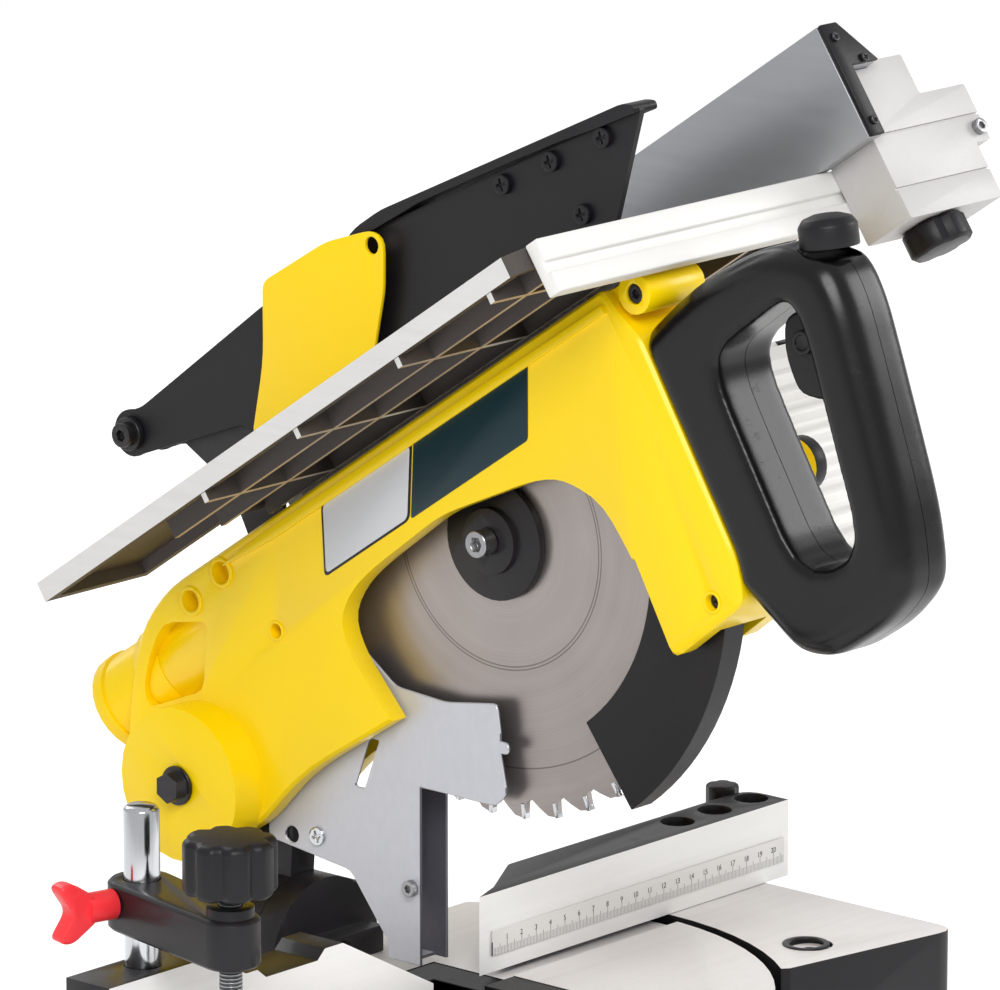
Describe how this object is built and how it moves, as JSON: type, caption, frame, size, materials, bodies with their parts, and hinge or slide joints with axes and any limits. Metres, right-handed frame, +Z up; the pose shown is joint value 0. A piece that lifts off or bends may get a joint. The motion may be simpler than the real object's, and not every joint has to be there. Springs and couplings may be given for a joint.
{
  "type": "mitre saw",
  "caption": "Bench mitre saw with a tilting, swivelling chop head, an upper saw table with hood and rip fence, and a hold-down clamp.",
  "frame": {"origin": "bottom centre of the bounding box, on the bench under the feet", "axes": "+X to the operator's right, +Y from the operator to the rear, +Z up"},
  "size_m": [0.4926, 0.5258, 0.5246],
  "materials": {
    "yellow_paint": "gloss enamel",
    "yellow_plate": "satin enamel",
    "black_paint": "satin enamel",
    "black_plastic": "fine texture",
    "cast_aluminium": "machined and bead blasted",
    "pale_metal": "pale satin",
    "grey_sheet": "zinc plated",
    "steel": "ground",
    "red_plastic": "semi gloss",
    "rubber": "matt"
  },
  "bodies": {
    "base": {"base_casting": "cast_aluminium", "foot_front_left": "rubber", "foot_rear_left": "rubber", "foot_front_right": "rubber", "foot_rear_right": "rubber", "fence_right": "black_paint", "fence_left": "black_paint", "ruler_right": "pale_metal"},
    "fence_knob": {"fence_lock_knob": "black_plastic"},
    "turntable": {"turntable": "cast_aluminium", "kerf_insert": "black_plastic", "bevel_support": "black_paint"},
    "mitre_lock": {"mitre_lock_knob": "black_plastic"},
    "detent_lever": {"mitre_detent_lever": "black_plastic"},
    "bevel_arm": {"bevel_bracket": "black_paint", "bevel_pivot_bolt": "steel", "guard_bracket": "grey_sheet", "return_spring": "steel", "pivot_shaft": "steel"},
    "bevel_lever": {"bevel_lock_lever": "black_plastic"},
    "head": {"head_casting": "yellow_paint", "dust_port": "yellow_paint", "drive_cover": "black_plastic", "motor_housing": "cast_aluminium", "motor_end_cap": "black_plastic", "capacitor": "yellow_plate", "handle_left": "black_plastic", "handle_right": "black_plastic", "arbor_bearing": "steel", "riving_knife": "steel", "drive_belt": "rubber"},
    "latch": {"latch_pin": "steel"},
    "trigger": {"trigger": "black_plastic"},
    "lock_button": {"lock_off_button": "black_plastic"},
    "guard": {"lower_guard": "black_plastic"},
    "blade_set": {"blade": "steel", "inner_flange": "steel", "outer_flange": "black_paint", "arbor_shaft": "steel", "arbor_screw": "steel"},
    "motor_set": {"rotor": "steel", "motor_pulley": "steel"},
    "table_set": {"upper_table": "cast_aluminium", "table_apron": "cast_aluminium", "table_column_front": "steel", "table_column_rear": "steel"},
    "height_knob": {"height_lock_knob": "black_plastic"},
    "hood": {"blade_hood": "black_plastic", "hood_plate": "yellow_plate", "hood_screw": "steel"},
    "rip_set": {"rip_fence": "pale_metal", "rip_fence_cap": "black_plastic", "fence_carriage": "cast_aluminium"},
    "carriage_knob": {"carriage_knob": "black_plastic"},
    "post": {"clamp_post": "steel"},
    "arm": {"clamp_arm": "black_paint"},
    "wing": {"clamp_wing_screw": "red_plastic"},
    "spindle": {"clamp_spindle": "steel", "clamp_knob": "black_plastic"},
    "pad": {"clamp_pad": "steel"}
  },
  "joints": [
    {"name": "mitre_swing", "type": "hinge", "parent": "base", "child": "turntable", "pos_m": [-0.01664, 0.04743, 0.04], "axis": [0, 0, 1], "range_deg": [-45, 45]},
    {"name": "mitre_lock_turn", "type": "hinge", "parent": "turntable", "child": "mitre_lock", "pos_m": [-0.01664, -0.24257, 0.025], "axis": [0, 1, 0], "range_deg": [0, 180]},
    {"name": "detent_lever_press", "type": "hinge", "parent": "turntable", "child": "detent_lever", "pos_m": [-0.01664, -0.17657, 0.025], "axis": [1, 0, 0], "range_deg": [0, 10], "stiffness_Nm_per_rad": 1.5, "springref_deg": -17.19},
    {"name": "bevel_tilt", "type": "hinge", "parent": "turntable", "child": "bevel_arm", "pos_m": [-0.01664, 0.13963, 0.084], "axis": [0, 1, 0], "range_deg": [-45, 0]},
    {"name": "bevel_lock_turn", "type": "hinge", "parent": "bevel_arm", "child": "bevel_lever", "pos_m": [-0.01664, 0.17343, 0.084], "axis": [0, -1, 0], "range_deg": [0, 36]},
    {"name": "head_chop", "type": "hinge", "parent": "bevel_arm", "child": "head", "pos_m": [-0.01664, 0.17943, 0.162], "axis": [1, 0, 0], "range_deg": [0, 34], "stiffness_Nm_per_rad": 12, "springref_deg": -171.89},
    {"name": "latch_pin_push", "type": "slide", "parent": "head", "child": "latch", "axis": [1, 0, 0], "range_m": [0, 0.008]},
    {"name": "trigger_press", "type": "hinge", "parent": "head", "child": "trigger", "pos_m": [-0.01914, -0.16959, 0.43319], "axis": [-1, 0, 0], "range_deg": [0, 6], "stiffness_Nm_per_rad": 0.5, "springref_deg": -22.92},
    {"name": "lock_off_press", "type": "slide", "parent": "head", "child": "lock_button", "axis": [0, -0.1736, -0.9848], "range_m": [0, 0.003], "stiffness_N_per_m": 400, "springref_m": -0.004},
    {"name": "guard_swing", "type": "hinge", "parent": "head", "child": "guard", "pos_m": [-0.01164, 0.01824, 0.29678], "axis": [1, 0, 0], "range_deg": [-40, 0]},
    {"name": "blade_spin", "type": "hinge", "parent": "head", "child": "blade_set", "pos_m": [-0.01664, 0.01824, 0.29678], "axis": [1, 0, 0], "continuous": true},
    {"name": "motor_spin", "type": "hinge", "parent": "head", "child": "motor_set", "pos_m": [0.06336, 0.04646, 0.28498], "axis": [1, 0, 0], "continuous": true},
    {"name": "table_raise", "type": "slide", "parent": "head", "child": "table_set", "axis": [0, 0.5592, 0.829], "range_m": [0, 0.03]},
    {"name": "height_knob_turn", "type": "hinge", "parent": "head", "child": "height_knob", "pos_m": [0.03336, 0.14647, 0.25516], "axis": [1, 0, 0], "range_deg": [0, 90]},
    {"name": "hood_swing", "type": "hinge", "parent": "head", "child": "hood", "pos_m": [-0.01664, 0.2355, 0.31307], "axis": [1, 0, 0], "range_deg": [-20, 0]},
    {"name": "rip_fence_slide", "type": "slide", "parent": "table_set", "child": "rip_set", "axis": [1, 0, 0], "range_m": [-0.085, 0.012]},
    {"name": "carriage_knob_turn", "type": "hinge", "parent": "rip_set", "child": "carriage_knob", "pos_m": [0.12526, -0.11343, 0.42901], "axis": [0, 0.5592, 0.829], "range_deg": [0, 90]},
    {"name": "clamp_post_swing", "type": "hinge", "parent": "base", "child": "post", "pos_m": [-0.20264, 0.06193, 0.124], "axis": [0, 0, 1], "range_deg": [-60, 25]},
    {"name": "clamp_arm_slide", "type": "slide", "parent": "post", "child": "arm", "axis": [0, 0, 1], "range_m": [-0.012, 0.028]},
    {"name": "clamp_wing_turn", "type": "hinge", "parent": "arm", "child": "wing", "pos_m": [-0.22208, 0.06663, 0.163], "axis": [0.972, -0.2351, 0], "range_deg": [0, 90]},
    {"name": "clamp_knob_turn", "type": "hinge", "parent": "pad", "child": "spindle", "pos_m": [-0.2191, -0.00611, 0.194], "axis": [0, 0, 1], "range_deg": [-600, 2880]},
    {"name": "clamp_pad_feed", "type": "slide", "parent": "arm", "child": "pad", "axis": [0, 0, 1], "range_m": [-0.005, 0.024]},
    {"name": "fence_knob_turn", "type": "hinge", "parent": "base", "child": "fence_knob", "pos_m": [0.21336, 0.08143, 0.122], "axis": [0, 0, 1], "range_deg": [0, 90]}
  ],
  "couplings": [
    {"joint": "guard_swing", "follows": "head_chop", "ratio": -1.1765},
    {"joint": "motor_spin", "follows": "blade_spin", "ratio": 0.9167},
    {"joint": "hood_swing", "follows": "table_raise", "rad_per_m": -11.636},
    {"joint": "clamp_pad_feed", "follows": "clamp_knob_turn", "m_per_rad": 0.00047746}
  ]
}
